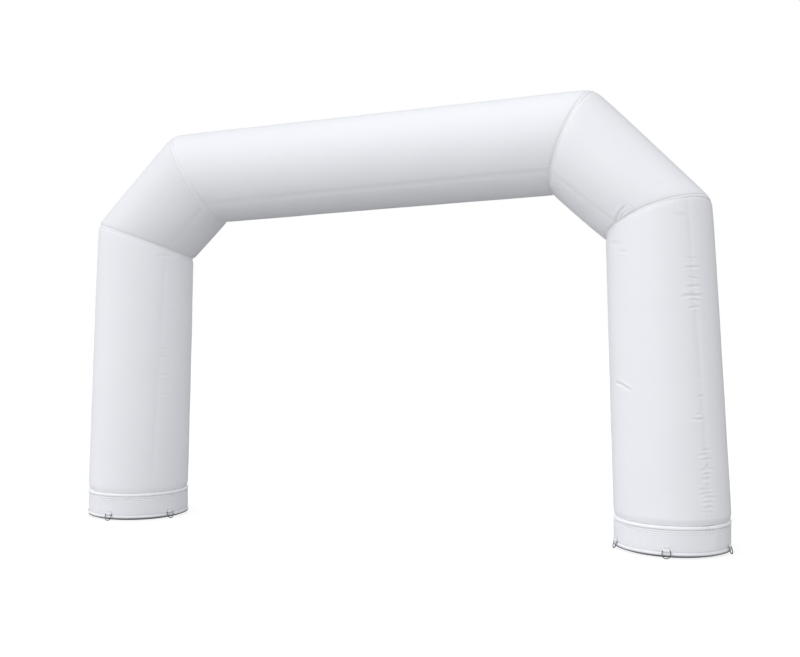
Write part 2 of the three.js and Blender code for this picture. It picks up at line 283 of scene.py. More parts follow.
# %% [markdown]
# ## Turning grids of points into pieces
# A tube, a band and a piping are all grids: rows along the piece and columns round it. One
# function makes the mesh, closes it round, closes its ends or joins them, and lays a UV map in
# metres. The faces are checked by volume, and turned the right way out if it comes out negative.

# %% Grid to mesh


def grid_piece(name, rows, material, uv_size, ring=False):
    """rows: an array (rows, columns, 3). ring joins the last row to the first; otherwise both
    ends get a flat cap. uv_size: metres along and round."""
    rows = np.asarray(rows, dtype=float)
    count, around = rows.shape[:2]
    points = rows.reshape(-1, 3)
    row = np.arange(count if ring else count - 1)[:, None]
    column = np.arange(around)[None, :]
    after_row = (row + 1) % count
    after_column = (column + 1) % around
    quads = np.stack([row * around + column, row * around + after_column,
                      after_row * around + after_column, after_row * around + column], axis=-1)
    quads = quads.reshape(-1, 4)
    corners = points[quads]
    volume = np.einsum("ij,ij->i", corners[:, 0], np.cross(corners[:, 1], corners[:, 2])).sum()
    volume += np.einsum("ij,ij->i", corners[:, 0], np.cross(corners[:, 2], corners[:, 3])).sum()
    uv = np.stack([np.broadcast_to((column / around), row.shape[:1] + (around,)),
                   np.broadcast_to((column + 1) / around, row.shape[:1] + (around,))], axis=-1)
    low = np.broadcast_to(row / count, uv.shape[:2])
    high = np.broadcast_to((row + 1) / count, uv.shape[:2])
    u0, u1 = uv[..., 0] * uv_size[1], uv[..., 1] * uv_size[1]
    v0, v1 = low * uv_size[0], high * uv_size[0]
    loops = np.stack([u0, v0, u1, v0, u1, v1, u0, v1], axis=-1).reshape(-1, 4, 2)
    faces = [tuple(q) for q in quads.tolist()]
    loop_uv = [tuple(map(tuple, f)) for f in loops.tolist()]
    if not ring:
        first = points[:around].mean(axis=0)
        last = points[-around:].mean(axis=0)
        closing = np.cross(points[:around] - first, np.roll(points[:around], -1, 0) - first)
        volume -= (first @ closing.sum(axis=0))
        closing = np.cross(points[-around:] - last, np.roll(points[-around:], -1, 0) - last)
        volume += (last @ closing.sum(axis=0))
        start = len(points)
        points = np.vstack([points, first, last])
        base = (count - 1) * around
        for i in range(around):
            j = (i + 1) % around
            faces.append((start, j, i))
            faces.append((start + 1, base + i, base + j))
            loop_uv += [((0, 0),) * 3, ((0, 0),) * 3]
    if volume < 0:
        faces = [face[::-1] for face in faces]
        loop_uv = [uvs[::-1] for uvs in loop_uv]
    mesh = bpy.data.meshes.new(name)
    mesh.from_pydata(points.tolist(), [], faces)
    layer = mesh.uv_layers.new(name="cloth")
    flat = [value for uvs in loop_uv for pair in uvs for value in pair]
    layer.data.foreach_set("uv", flat)
    mesh.materials.append(material)
    mesh.polygons.foreach_set("use_smooth", [len(f) == 4 for f in faces])
    mesh.update()
    piece = bpy.data.objects.new(name, mesh)
    bpy.context.scene.collection.objects.link(piece)
    print(name, "faces:", len(mesh.polygons))
    return piece


# %% [markdown]
# ## The centre line of the arch
# The same few sizes as in the solids: six points joined by straight runs. At each inner point
# the two tubes meet in a slanted seam, and the seam's own axes are the mean direction of the
# two runs, the way out of the arch and the way to the front. Sewn cloth never lies quite square,
# so each seam's front and outside are slid a few centimetres along the arch. The frame says
# where the left foot stands, which places all the rest.

# %% Centre line
TUBE_RADIUS = 0.450
PIPING_HEIGHT = 0.240
# point, tube radius, slide of the front, slide of the outside, how far the outside is drawn in
CENTRE_LINE = {
    "left_foot": ((-2.564, 0.074, PIPING_HEIGHT), 0.478, 0.0, 0.0, 0.0),
    "left_knee": ((-2.449, 0.0, 2.683), 0.456, 0.050, -0.036, 0.017),
    "left_crown": ((-1.863, 0.0, 3.286), 0.450, 0.025, -0.042, 0.024),
    "right_crown": ((1.736, 0.0, 3.463), 0.443, -0.055, 0.016, 0.022),
    "right_knee": ((2.455, 0.0, 2.762), 0.433, -0.085, 0.035, 0.017),
    "right_foot": ((2.567, -0.116, PIPING_HEIGHT), 0.478, 0.0, 0.0, 0.0),
}
TUBE_NAMES = ["left_leg", "left_shoulder", "crossbeam", "right_shoulder", "right_leg"]
FRONT = np.array([0.0, -1.0, 0.0])
UP = np.array([0.0, 0.0, 1.0])


def unit(vector):
    return vector / np.linalg.norm(vector, axis=-1, keepdims=True)


def middle_of(node):
    low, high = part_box(node)
    return (np.array(low) + np.array(high)) / 2


def side_axes(along):
    front = unit(FRONT - along * (FRONT @ along))
    return np.cross(front, along), front


def make_joints():
    names = list(CENTRE_LINE)
    places = [np.array(CENTRE_LINE[name][0]) for name in names]
    shift = middle_of("left_ground_panel") - places[0]
    shift[2] = 0.0
    places = [place + shift for place in places]
    joints = []
    for i, name in enumerate(names):
        foot = i in (0, len(names) - 1)
        stretch = 1.0
        if foot:
            along = UP if i == 0 else -UP
        else:
            before = unit(places[i] - places[i - 1])
            after = unit(places[i + 1] - places[i])
            along = unit(before + after)
            stretch = 1 / (along @ before)
        outward, front = side_axes(along)
        _, radius, front_slide, outer_slide, draw = CENTRE_LINE[name]
        joints.append({"at": places[i], "along": along, "outward": outward, "front": front,
                       "stretch": stretch, "radius": radius, "front_slide": front_slide,
                       "outer_slide": outer_slide, "draw": draw, "foot": foot})
    return joints


JOINTS = make_joints()
print("left foot stands at", JOINTS[0]["at"].round(3))


def round_and_round(axes, angles, stretch=1.0):
    """Unit directions round a run: angle 0 is out of the arch, 90 its front."""
    turn = np.radians(angles)[..., None]
    return np.cos(turn) * stretch * axes[0] + np.sin(turn) * axes[1]


def seam_directions(joint, angles):
    return round_and_round((joint["outward"], joint["front"]), angles, joint["stretch"])


def full_seam(joint, angles):
    turn = np.radians(angles)[..., None]
    slide = joint["front_slide"] * np.sin(turn) + joint["outer_slide"] * np.cos(turn)
    return joint["at"] + joint["radius"] * seam_directions(joint, angles) + slide * joint["along"]


# %% [markdown]
# ## Air-filled tubes
# A tube under pressure is round and smooth, and everything that shows on it comes from its
# sewing. Where two tubes meet in a slanted seam the cloth is drawn in, first gently and then,
# in the last few centimetres, steeply. Along a tube runs a lapped seam where its two panels
# join, a shallow channel with small puckers. A cloth simulation could blow such a tube up, but
# none was tried: the shape follows a plain rule, so the skin is worked out directly as a fine
# grid, a round section, and a sum of small in and out moves.

# %% Seam profile
CREASE_OUTER, CREASE_INNER, DRAW_INNER = 0.0105, 0.0088, 0.0098
CREASE_EDGE, CREASE_REACH, GENTLE_REACH = 0.0095, 0.0110, 0.065
SEAM_GAP = 0.0002
BARREL = {"left_leg": 0.003, "left_shoulder": 0.002, "crossbeam": -0.003, "right_shoulder": 0.004,
          "right_leg": 0.002}


def outer_share(angles):
    return (1 + np.cos(np.radians(angles))) / 2


def drawn_in(joint, angles, distance):
    """How far the cloth is drawn in at a distance from a slanted seam: flat under the binding,
    a steep rise beside it, then a gentle one."""
    share = outer_share(angles)
    crease = CREASE_INNER + (CREASE_OUTER - CREASE_INNER) * share
    gentle = DRAW_INNER + (joint["draw"] - DRAW_INNER) * share - crease
    steep = np.exp(-np.maximum(distance - CREASE_EDGE, 0) / CREASE_REACH)
    return crease * steep + gentle * np.exp(-distance / GENTLE_REACH)


# %% [markdown]
# ## Where creases run
# A crease is a narrow valley with a soft ridge beside it, fading at both ends. Each one is kept
# as two places on a tube: an angle round it and a distance along it in metres, measured from
# the tube's first end. The list holds the strongest folds; a seeded random set adds the small
# gathers that sewing leaves beside every seam.

# %% Creases
# tube: (angle 1, along 1, angle 2, along 2, half width, depth)
CREASES = {
    "right_leg": [
        (70, 0.024, 52, 0.032, 0.013, 0.0044),
        (149, 0.200, 127, 0.225, 0.016, 0.0042),
        (136, 0.290, 121, 0.300, 0.014, 0.0020),
        (60, 0.380, 44, 0.390, 0.012, 0.0025),
        (64, 0.468, 42, 0.458, 0.013, 0.0032),
        (59, 0.540, 45, 0.554, 0.012, 0.0026),
        (62, 0.622, 42, 0.614, 0.014, 0.0034),
        (68, 0.700, 40, 0.690, 0.016, 0.0046),
        (60, 0.722, 46, 0.735, 0.012, 0.0028),
        (62, 0.796, 44, 0.786, 0.012, 0.0030),
        (57, 1.505, 49, 1.512, 0.014, 0.0030),
        (60, 1.650, 53, 1.658, 0.012, 0.0026),
        (65.5, 1.690, 49, 1.697, 0.014, 0.0034),
        (148, 1.372, 123, 1.450, 0.017, 0.0052),
        (140, 1.420, 131, 1.452, 0.014, 0.0022),
    ],
    "right_shoulder": [
        (133, 0.778, 108, 0.764, 0.014, 0.0060),
        (128, 0.799, 112, 0.788, 0.012, 0.0042),
        (69, 0.838, 57, 0.849, 0.012, 0.0024),
        (146, 0.214, 137, 0.218, 0.014, 0.0028),
        (140, 0.275, 132, 0.279, 0.012, 0.0020),
    ],
    "left_shoulder": [
        (142, 0.690, 133, 0.696, 0.012, 0.0024),
        (104, 0.796, 100, 0.800, 0.014, 0.0020),
        (146, 0.560, 137, 0.566, 0.012, 0.0020),
    ],
    "left_leg": [
        (152, 2.318, 124, 2.310, 0.016, 0.0026),
        (154, 1.786, 145, 1.784, 0.014, 0.0022),
        (146, 1.422, 136, 1.420, 0.012, 0.0020),
        (146, 1.346, 136, 1.344, 0.012, 0.0020),
        (149, 1.172, 139, 1.172, 0.012, 0.0020),
        (150, 0.982, 140, 0.980, 0.012, 0.0020),
    ],
    "crossbeam": [],
}
# The two lapped seams of each tube, as (angle at the first end, angle at the last end).
PANEL_SEAMS = {
    "left_leg": [(134, 141), (315, 315)],
    "left_shoulder": [(141, 139), (315, 315)],
    "crossbeam": [(135.4, 132.4), (315, 315)],
    "right_shoulder": [(135, 135), (315, 315)],
    "right_leg": [(53, 49.5), (225, 225)],
}


def gathers(seed):
    """Small seeded gathers: short folds square to a seam, by distance from it."""
    rng = np.random.default_rng(seed)
    folds = []
    angle = rng.uniform(0, 8)
    while angle < 360:
        reach = rng.uniform(0.035, 0.110)
        lean = rng.uniform(-3, 3)
        folds.append((angle, 0.004, angle + lean, reach,
                      rng.uniform(0.008, 0.013), rng.uniform(0.0003, 0.0010)))
        angle += rng.uniform(7, 17)
    return folds


def puckers(name, first, last, seed):
    """Small seeded puckers: short folds across each lapped seam."""
    rng = np.random.default_rng(seed)
    folds = []
    length = np.linalg.norm(last["at"] - first["at"])
    for begin, end in PANEL_SEAMS[name]:
        along = 0.12
        while along < length - 0.12:
            angle = begin + (end - begin) * along / length
            reach = rng.uniform(2.0, 6.0)
            side = rng.uniform(-1.5, 1.5)
            folds.append((angle - reach + side, along + rng.uniform(-0.006, 0.006),
                          angle + reach + side, along + rng.uniform(-0.006, 0.006),
                          rng.uniform(0.009, 0.013), rng.uniform(0.0003, 0.0009)))
            along += rng.uniform(0.045, 0.120)
    if name == "right_leg":
        along = 1.900
        while along < length - 0.02:
            left, right = rng.uniform(53, 64), rng.uniform(40, 49)
            folds.append((left, along + rng.uniform(-0.009, 0.009),
                          right, along + rng.uniform(-0.009, 0.009),
                          rng.uniform(0.011, 0.015), rng.uniform(0.0012, 0.0026)))
            along += rng.uniform(0.028, 0.046)
    return folds


FOLD_STRENGTH, FOLD_WIDTH = 1.45, 0.80


def crease_depth(folds, angles, along):
    """Total inward move of all folds on a grid of angles (degrees) and distances."""
    total = np.zeros(np.broadcast(angles, along).shape)
    for angle_1, along_1, angle_2, along_2, width, depth in folds:
        start = np.array([0.0, along_1])
        end = np.array([math.radians(angle_2 - angle_1) * TUBE_RADIUS, along_2])
        length = np.linalg.norm(end - start)
        direction = (end - start) / length
        turn = (angles - angle_1 + 180) % 360 - 180
        across_place = np.radians(turn) * TUBE_RADIUS
        rows = np.abs(along - (along_1 + along_2) / 2).min(axis=-1) < length / 2 + 0.06
        if not rows.any():
            continue
        u = across_place[rows] * direction[0] + (along[rows] - along_1) * direction[1]
        v = across_place[rows] * -direction[1] + (along[rows] - along_1) * direction[0]
        middle = (u / length - 0.5) * 2
        fade = np.exp(-np.maximum(np.abs(middle) - 0.45, 0) ** 2 / 0.14)
        bend = 0.0375 * length * (1 - middle ** 2)
        v = v - bend + 0.10 * width * np.sin(4.5 * middle + 700 * along_1)
        narrow = width * FOLD_WIDTH
        valley = (np.exp(-(v / narrow) ** 2) - 0.55 * np.exp(-((v - 1.8 * narrow) / narrow) ** 2)
                  - 0.25 * np.exp(-((v + 1.8 * narrow) / narrow) ** 2))
        total[rows] += FOLD_STRENGTH * depth * fade * valley
    return total


# %% [markdown]
# ## The grid of a tube
# Columns crowd together beside the lapped seams and rows crowd together beside the slanted
# seams and wherever creases are listed, so the fine detail gets fine faces and the plain
# stretches stay light.

# %% Grid spacing


def column_angles(name):
    angles = list(np.arange(0, 360, 3.0))
    for angle_1, _, angle_2, _, _, depth in CREASES[name]:
        if depth > STRONG_FOLD:
            low, high = sorted((angle_1, angle_2))
            angles += list(np.arange(low - 4, high + 4, 1.0))
    for pair in PANEL_SEAMS[name]:
        centre = sum(pair) / 2
        spread = abs(pair[0] - pair[1]) / 2
        angles += list(np.arange(centre - 12 - spread, centre + 12 + spread, 1.0))
        near = 1.9 + spread
        angles += list(np.arange(centre - near, centre + near + 0.01, 0.25))
    angles = np.unique(np.round(np.array(angles) % 360, 2))
    kept = [angles[0]]
    for angle in angles[1:]:
        if angle - kept[-1] > 0.2:
            kept.append(angle)
    return np.array(kept)


HEAD_ROWS = np.array([SEAM_GAP, 0.0030, 0.0060, 0.0085, 0.0100, 0.0112, 0.0124, 0.0136, 0.0148,
                      0.0162, 0.0180, 0.0205, 0.024, 0.029, 0.036, 0.044, 0.052, 0.061, 0.071,
                      0.082, 0.094, 0.107, 0.121, 0.136, 0.152, 0.169, 0.187, 0.206, 0.226])
STITCHED_ROW = 12
ROW_STEP, FINE_ROW_STEP, STRONG_FOLD = 0.018, 0.0045, 0.0015


def middle_rows(start, stop, places):
    """Distances between start and stop: fine near the given places, plain elsewhere."""
    rows, at = [], start
    while at < stop:
        close = any(abs(at - middle) < half for middle, half in places)
        at += FINE_ROW_STEP if close else ROW_STEP
        rows.append(at)
    rows = np.array(rows)
    return start + (rows - start) * (stop - start) / (rows[-1] - start) if len(rows) else rows


# %% [markdown]
# ## The neck of a leg
# A leg's lower end wraps over a piping and turns in under it, so its rows follow a rounded
# lip: out at full width, down, and in. The solid has the same lip with fewer corners.

# %% Leg neck
NECK_PROFILE = [(0.0002, 0.4440), (0.006, 0.4450), (0.012, 0.4475), (0.0166, 0.4532),
                (0.0190, 0.4590), (0.0198, 0.4625), (0.0225, 0.4652), (0.027, 0.4676),
                (0.033, 0.4700), (0.041, 0.4726), (0.051, 0.4750), (0.061, 0.4768),
                (0.070, 0.4780)]


def neck_points(joint, angles, rise, radius):
    return joint["at"] + radius * seam_directions(joint, angles) + rise * UP


def run_end(joint, angles):
    if joint["foot"]:
        return neck_points(joint, angles, *NECK_PROFILE[-1])
    return full_seam(joint, angles)


# %% [markdown]
# ## A tube's skin
# Every line along a tube runs straight from one seam to the other. The skin then swells a
# little halfway, sinks at the lapped seams, folds at the creases and is drawn in at its ends.
# A wide, soft unevenness of a few millimetres is added too, because no blown-up cloth is a
# perfect cylinder.

# %% Tube skins


LAP_HEIGHT = {"left_leg": 0.0010, "left_shoulder": 0.0022, "crossbeam": 0.0020,
              "right_shoulder": 0.0018, "right_leg": 0.0008}


def lapped_seam(name, turn):
    """Inward move across a lapped seam: a shallow channel with a flat lap standing in it."""
    arc = np.radians(turn) * TUBE_RADIUS
    channel = 0.0046 * np.exp(-(np.abs(arc) / 0.020) ** 1.3)
    lap = LAP_HEIGHT[name] / (1 + np.exp(np.clip((np.abs(arc - 0.001) - 0.0065) / 0.0007, -50, 50)))
    return channel - lap


def soft_waves(angles, along, seed):
    rng = np.random.default_rng(seed)
    total = np.zeros(np.broadcast(angles, along).shape)
    for _ in range(7):
        round_count = rng.integers(2, 7)
        pitch = rng.uniform(0.5, 1.6)
        phase, along_phase = rng.uniform(0, 2 * math.pi, 2)
        total += rng.uniform(0.0002, 0.0005) * (
            np.sin(round_count * np.radians(angles) + phase)
            * np.sin(2 * math.pi * along / pitch + along_phase))
    return total


def tube_grid(name, first, last, seed):
    angles = column_angles(name)
    start, end = run_end(first, angles), run_end(last, angles)
    run = end - start
    length = np.linalg.norm(run, axis=-1)
    inwards = run / length[:, None]
    axis = unit(last["at"] - first["at"])
    outward, front = side_axes(axis)
    round_normals = round_and_round((outward, front), angles)
    folds = CREASES[name] + puckers(name, first, last, seed + 50)
    head = np.array([0.0]) if first["foot"] else HEAD_ROWS
    tail = np.array([0.0]) if last["foot"] else HEAD_ROWS
    mean = length.mean()
    places = []
    for angle_1, along_1, angle_2, along_2, _, depth in folds:
        if depth > STRONG_FOLD:
            middle = (angle_1 + angle_2) / 2
            low, high = (np.interp(middle, angles, (edge - first["at"]) @ axis, period=360)
                         for edge in (start, end))
            share = ((along_1 + along_2) / 2 - low) / (high - low)
            places.append((share * mean, abs(along_1 - along_2) / 2 + 0.028))
    inner = middle_rows(head[-1], mean - tail[-1], places)[:-1]
    share = (inner - head[-1]) / (mean - tail[-1] - head[-1])
    along = np.vstack([
        np.broadcast_to(head[:, None], (len(head), len(angles))),
        head[-1] + share[:, None] * (length - tail[-1] - head[-1])[None, :],
        (length[None, :] - tail[::-1][:, None]),
    ])
    grid_angles = np.broadcast_to(angles[None, :], along.shape)
    points = start[None] + along[..., None] * inwards[None]
    measured = (points - first["at"]) @ axis
    swell = BARREL[name] * np.sin(math.pi * along / length[None, :])
    away = np.ones_like(along)
    move = swell + soft_waves(grid_angles, measured, seed + 9)
    move = move - crease_depth(folds, grid_angles, measured)
    for joint, distance in ((first, along), (last, length[None, :] - along)):
        if not joint["foot"]:
            seed += 1
            move = move - crease_depth(gathers(seed), grid_angles, distance)
    for begin, finish in PANEL_SEAMS[name]:
        seam_angle = begin + (finish - begin) * along / length[None, :]
        turn = (grid_angles - seam_angle + 180) % 360 - 180
        move = move - lapped_seam(name, turn)
    for joint, distance in ((first, along), (last, length[None, :] - along)):
        if joint["foot"]:
            away = away * np.clip(distance / 0.12, 0, 1)
        else:
            away = away * np.clip((distance - SEAM_GAP) / 0.012, 0, 1)
    points = points + (move * away)[..., None] * round_normals[None]
    for joint, distance in ((first, along), (last, length[None, :] - along)):
        if joint["foot"]:
            continue
        flat = unit(seam_directions(joint, angles))[None]
        blend = np.clip(distance / 0.2, 0, 1)[..., None]
        direction = unit(flat * (1 - blend) + round_normals[None] * blend)
        points = points - direction * drawn_in(joint, grid_angles, distance)[..., None]
    necks = [neck_points(joint, angles, *row) for joint in (first, last) if joint["foot"]
             for row in NECK_PROFILE[:-1]]
    if first["foot"]:
        points = np.concatenate([np.array(necks), points])
    if last["foot"]:
        points = np.concatenate([points, np.array(necks)[::-1]])
    return points, mean


TUBES = {}
for number, name in enumerate(TUBE_NAMES):
    first, last = JOINTS[number], JOINTS[number + 1]
    rows, length = tube_grid(name, first, last, seed=11 + number)
    skin = grid_piece(f"{name}_skin", rows, TUBE_CLOTH[name], (length, 2 * math.pi * TUBE_RADIUS))
    TUBES[name] = (skin, rows)
    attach(skin, "root")
    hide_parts(name)

# %% [markdown]
# ## Bindings over the slanted seams
# Each slanted seam is covered by a narrow strip sewn over both cloths. It lies in the bottom of
# the crease, padded up a little by the folded edges under it, with a thin gutter at each side.
# It is swept round the seam: a crowned section with rounded edges, square to the seam at every
# step.

# %% Seam bindings
STRIP_HALF_WIDTH, STRIP_HEIGHT, STRIP_LIFT = 0.0085, 0.0024, 0.0008


def seam_line(joint, angles):
    direction = unit(seam_directions(joint, angles))
    return full_seam(joint, angles) - direction * drawn_in(joint, angles, 0.0)[:, None], direction


def strip_section(steps=13):
    turn = np.linspace(math.pi, 0, steps)
    top = np.stack([STRIP_HALF_WIDTH * np.cos(turn),
                    STRIP_LIFT + STRIP_HEIGHT * np.sin(turn) ** 0.45], axis=-1)
    under = [(STRIP_HALF_WIDTH * 0.4, STRIP_LIFT), (-STRIP_HALF_WIDTH * 0.4, STRIP_LIFT)]
    return np.vstack([top, under])


def sweep_round(path, up, section):
    """Rows of a section swept round a closed path; up is the outward direction."""
    tangent = unit(np.roll(path, -1, axis=0) - np.roll(path, 1, axis=0))
    up = unit(up - tangent * np.einsum("ij,ij->i", up, tangent)[:, None])
    across = np.cross(tangent, up)
    return (path[:, None] + section[None, :, :1] * across[:, None]
            + section[None, :, 1:] * up[:, None])


STRIP_ANGLES = np.arange(0, 360, 1.0)
BINDING_NAMES = ["left_knee_binding", "left_crown_binding", "right_crown_binding",
                 "right_knee_binding"]
for joint, name in zip(JOINTS[1:-1], BINDING_NAMES):
    path, up = seam_line(joint, STRIP_ANGLES)
    rows = sweep_round(path, up, strip_section())
    strip = grid_piece(f"{name}_strip", rows, BINDING_CLOTH, (2 * math.pi * TUBE_RADIUS, 0.03),
                       ring=True)
    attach(strip, "root")
    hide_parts(name)

# %% [markdown]
# ## Foot piping
# Where a foot band is sewn to its leg, a cord wrapped in cloth stands out as a round roll. It
# is a ring of round section, a little uneven where the cloth pinches the cord.

# %% Foot piping
PIPING_PATH, PIPING_ROUND, PIPING_SLACK = 0.4635, 0.0187, 0.0003
# where the right leg's lapped seam meets the piping: (angle, half width, depth)
SEAM_PUCKERS = [(44.6, 0.8, 0.0034), (47.2, 0.9, 0.0062), (49.6, 0.7, 0.0044),
                (51.9, 0.9, 0.0072), (54.6, 0.8, 0.0042), (57.3, 0.9, 0.0026)]
PUCKERED_ARC, PUCKER_STEP = (42, 60), 0.3


def pucker_depth(angles):
    return sum(depth * np.exp(-((angles - place) / width) ** 2)
               for place, width, depth in SEAM_PUCKERS)


def piping_rows(joint, seed):
    puckered = joint["at"][0] > 0
    fine = np.arange(*PUCKERED_ARC, PUCKER_STEP) if puckered else []
    angles = np.unique(np.concatenate([np.arange(0, 360, 1.2), fine]))
    rng = np.random.default_rng(seed)
    uneven = -pucker_depth(angles) if puckered else 0
    uneven = uneven + sum(
        rng.uniform(0.0001, 0.0003) * np.sin(count * np.radians(angles) + rng.uniform(0, 6))
        for count in (7, 19, 31, 53))
    turn = np.linspace(0, 2 * math.pi, 18, endpoint=False)
    out = PIPING_PATH + (PIPING_ROUND - PIPING_SLACK + uneven[:, None]) * np.cos(turn)[None]
    rise = (PIPING_ROUND - PIPING_SLACK + uneven[:, None]) * np.sin(turn)[None]
    direction = seam_directions(joint, angles)
    return joint["at"] + out[..., None] * direction[:, None] + rise[..., None] * UP


FEET = {"left": JOINTS[0], "right": JOINTS[-1]}
for side, joint in FEET.items():
    piping = grid_piece(f"{side}_foot_piping_roll", piping_rows(joint, 71), BINDING_CLOTH,
                        (2 * math.pi * PIPING_PATH, 0.12), ring=True)
    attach(piping, "root")
    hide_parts(f"{side}_foot_piping")

# %% [markdown]
# ## Foot bands
# A foot band is a short drum of the same cloth with air in it. Its wall is pulled straight, a
# stitched fold runs below the piping, and a rolled hem runs round the bottom, just above the
# floor, where the drum bulges down to its flat base.

# %% Foot bands
BAND_PROFILE = [
    (0.4150, 0.0033), (0.4280, 0.0046), (0.4400, 0.0071), (0.4500, 0.0100), (0.4590, 0.0152),
    (0.4660, 0.0205), (0.4700, 0.0216), (0.4745, 0.0224), (0.4785, 0.0246), (0.4805, 0.0280),
    (0.4814, 0.0320), (0.4814, 0.0360), (0.4803, 0.0400), (0.4784, 0.0436), (0.4763, 0.0462),
    (0.4745, 0.0478), (0.4738, 0.0490), (0.4746, 0.0502), (0.4758, 0.0530), (0.4766, 0.0580),
    (0.4770, 0.0700), (0.4771, 0.0850), (0.4772, 0.1000), (0.4772, 0.1200), (0.4772, 0.1400),
    (0.4772, 0.1600), (0.4772, 0.1750), (0.4774, 0.1810), (0.4775, 0.1838), (0.4768, 0.1852),
    (0.4742, 0.1864), (0.4738, 0.1874), (0.4758, 0.1892), (0.4772, 0.1912), (0.4775, 0.1950),
    (0.4774, 0.1990), (0.4767, 0.2008), (0.4740, 0.2026), (0.4737, 0.2038), (0.4758, 0.2056),
    (0.4771, 0.2080), (0.4775, 0.2120), (0.4775, 0.2170), (0.4772, 0.2215), (0.4765, 0.2240),
    (0.4748, 0.2240), (0.4715, 0.2224), (0.4670, 0.2208), (0.4610, 0.2205), (0.4540, 0.2210),
    (0.4470, 0.2222), (0.4430, 0.2270), (0.4400, 0.2340), (0.4390, 0.2398)]
FOLD_HEIGHTS = (0.1872, 0.2036)
TAB_WALL = 0.4771
RING_AZIMUTHS = {"left": (-77, -5, 67, 139, 211), "right": (-68, -4, 72, 144, 216)}


def bearing(azimuth):
    turn = np.radians(azimuth)
    return np.stack([np.sin(turn), -np.cos(turn), 0 * turn], axis=-1)


def band_rows(joint, side, seed):
    low, high = (90 - angle for angle in PUCKERED_ARC[::-1])
    fine = np.arange(low, high, PUCKER_STEP) if side == "right" else []
    azimuths = np.unique(np.concatenate([np.arange(0, 360, 1.5), fine]))
    rng = np.random.default_rng(seed)
    profile = np.array(BAND_PROFILE)
    radius, height = profile[:, :1], profile[:, 1:]
    wave = np.zeros((len(profile), len(azimuths)))
    for count in (5, 9, 17, 29, 47):
        lean = rng.uniform(-8, 8)
        wave += rng.uniform(0.0001, 0.00035) * np.sin(
            count * np.radians(azimuths)[None] + lean * height * 6 + rng.uniform(0, 6))
    on_wall = np.exp(-((height - 0.125) / 0.062) ** 4)
    quiet = np.ones(len(azimuths))
    for azimuth in RING_AZIMUTHS[side]:
        turn = (azimuths - azimuth + 180) % 360 - 180
        quiet = quiet * (1 - np.exp(-(turn / 6) ** 4))
    hem_gather = 0.0005 * np.sin(np.radians(azimuths) * 61 + 2 * np.sin(np.radians(azimuths) * 7))
    on_hem = np.exp(-((height - 0.034) / 0.010) ** 2)
    move = (wave * on_wall + hem_gather[None] * on_hem) * quiet[None]
    if side == "right":
        below = np.clip((0.226 - height) / 0.075, 0, 1)
        on_top = (height > 0.06) * (1 - below) ** 1.5
        move = move - 0.5 * on_top * pucker_depth(90 - azimuths[None] - 25 * (0.22 - height))
    middle = np.array([joint["at"][0], joint["at"][1], 0.0])
    return (middle + (radius + move)[..., None] * bearing(azimuths)[None]
            + height[..., None] * UP)


for side, joint in FEET.items():
    band = grid_piece(f"{side}_foot_band_cloth", band_rows(joint, side, 81), BAND_CLOTH,
                      (0.24, 2 * math.pi * TAB_WALL))
    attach(band, "root")
    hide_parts(f"{side}_foot_band")

# %% [markdown]
# ## Ground panels
# The drum stands on a disc of dark, hard-wearing cloth sewn in under the hem. It is one sheet:
# flat on the floor in the middle, then up along the drum's rounded edge.

# %% Ground panels
GROUND_TOP = [(0.4150, 0.0030), (0.4280, 0.0043), (0.4400, 0.0066), (0.4500, 0.0094),
              (0.4590, 0.0145), (0.4665, 0.0186), (0.4730, 0.0200), (0.4790, 0.0200)]
GROUND_BOTTOM = [(0.4150, 0.0), (0.4280, 0.0012), (0.4400, 0.0036), (0.4500, 0.0064),
                 (0.4590, 0.0114), (0.4665, 0.0152), (0.4730, 0.0164), (0.4790, 0.0166)]


def ground_rows(joint):
    azimuths = np.arange(0, 360, 3.0)
    profile = np.array([(0.14, 0.0), (0.28, 0.0)] + GROUND_BOTTOM + GROUND_TOP[::-1]
                       + [(0.28, 0.003), (0.14, 0.003)])
    middle = np.array([joint["at"][0], joint["at"][1], 0.0])
    return (middle + profile[:, :1, None] * bearing(azimuths)[None]
            + profile[:, 1:, None] * UP)


for side, joint in FEET.items():
    ground = grid_piece(f"{side}_ground_cloth", ground_rows(joint), GROUND_CLOTH_AND_SHADE, (1.0, 3.0))
    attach(ground, "root")
    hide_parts(f"{side}_ground_panel")


# %% [markdown]
# ## Webbing tabs
# Each D-ring hangs in a loop of 50 mm webbing. The strap comes down the band's wall, turns
# round the ring's bar and goes up again over itself, where both layers are sewn to the wall.
# Its path is worked out in a plane square to the wall, and a strap section with rounded
# selvedges is carried along it. Higher up it curves with the wall.

# %% Webbing tabs
TAB_HALF_WIDTH, TAB_THICKNESS, TAB_TOP, TAB_JOIN = 0.025, 0.0019, 0.0976, 0.074
BAND_WALL, CLEARANCE, WIRE_RADIUS, BAR_HEIGHT = 0.477, 0.0003, 0.0040, 0.060
BAR_RADIUS = BAND_WALL + 2 * CLEARANCE + 0.002 + WIRE_RADIUS


def tab_path():
    """The strap's middle as (outwards, up): down the wall, round the bar and up again."""
    reach = BAR_RADIUS - BAND_WALL - CLEARANCE - 0.001
    back = BAR_RADIUS - reach
    points = [(back, z) for z in np.linspace(TAB_TOP, BAR_HEIGHT, 13)[:-1]]
    for turn in np.linspace(math.pi, 2 * math.pi, 15):
        points.append((BAR_RADIUS + reach * math.cos(turn), BAR_HEIGHT + reach * math.sin(turn)))
    front = back + 0.0021
    for share in np.linspace(0, 1, 8)[1:]:
        ease = share * share * (3 - 2 * share)
        points.append((BAR_RADIUS + reach + (front - BAR_RADIUS - reach) * ease,
                       BAR_HEIGHT + (TAB_JOIN - BAR_HEIGHT) * share))
    points += [(front, z) for z in np.linspace(TAB_JOIN, TAB_TOP - 0.0006, 9)[1:]]
    return np.array(points)


